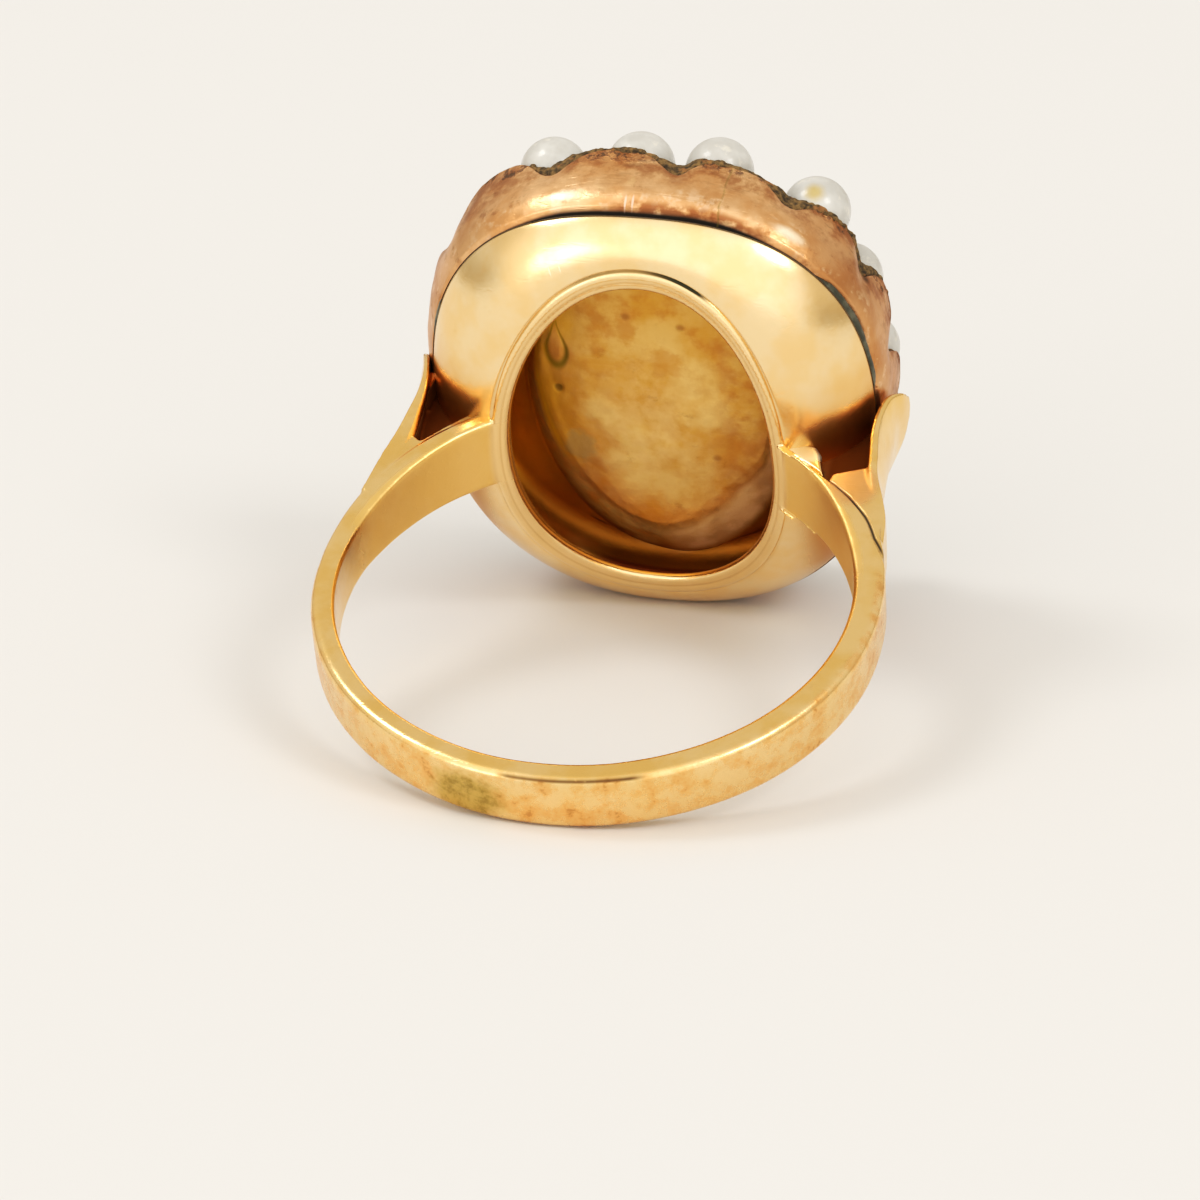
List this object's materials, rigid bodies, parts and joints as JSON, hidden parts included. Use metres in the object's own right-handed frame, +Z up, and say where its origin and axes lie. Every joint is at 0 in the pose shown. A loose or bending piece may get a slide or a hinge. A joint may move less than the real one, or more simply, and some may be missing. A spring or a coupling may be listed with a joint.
{
  "type": "mourning ring",
  "caption": "Gold finger ring with an open-backed cushion head, a scalloped border of pearls and a locket for hair under a domed crystal; split shoulders end in leaves.",
  "frame": {"origin": "bottom centre of the box round the ring as it rests on its side", "axes": "+Z up, +Y from the hoop's back towards the face of the head, +X across the finger. The ring leans: its finger axis is +Z tipped by 20.8 degrees towards -Y."},
  "size_m": [0.019, 0.0262, 0.0178],
  "materials": {
    "yellow_gold": "polished, worn",
    "rose_gold": "worn, tarnished",
    "stained_gold": "matte, stained",
    "pearl": "lustrous",
    "hair": "woven hair",
    "crystal": "polished"
  },
  "bodies": {
    "root": {"shank_with_cup": "yellow_gold", "locket_back": "stained_gold", "pearl_setting": "rose_gold", "hair_panel": "hair", "crystal": "crystal", "crystal_collar": "yellow_gold", "pearl_01": "pearl", "pearl_02": "pearl", "pearl_03": "pearl", "pearl_04": "pearl", "pearl_05": "pearl", "pearl_06": "pearl", "pearl_07": "pearl", "pearl_08": "pearl", "pearl_09": "pearl", "pearl_10": "pearl", "pearl_11": "pearl", "pearl_12": "pearl", "pearl_13": "pearl", "pearl_14": "pearl", "pearl_15": "pearl", "pearl_16": "pearl"}
  },
  "joints": []
}
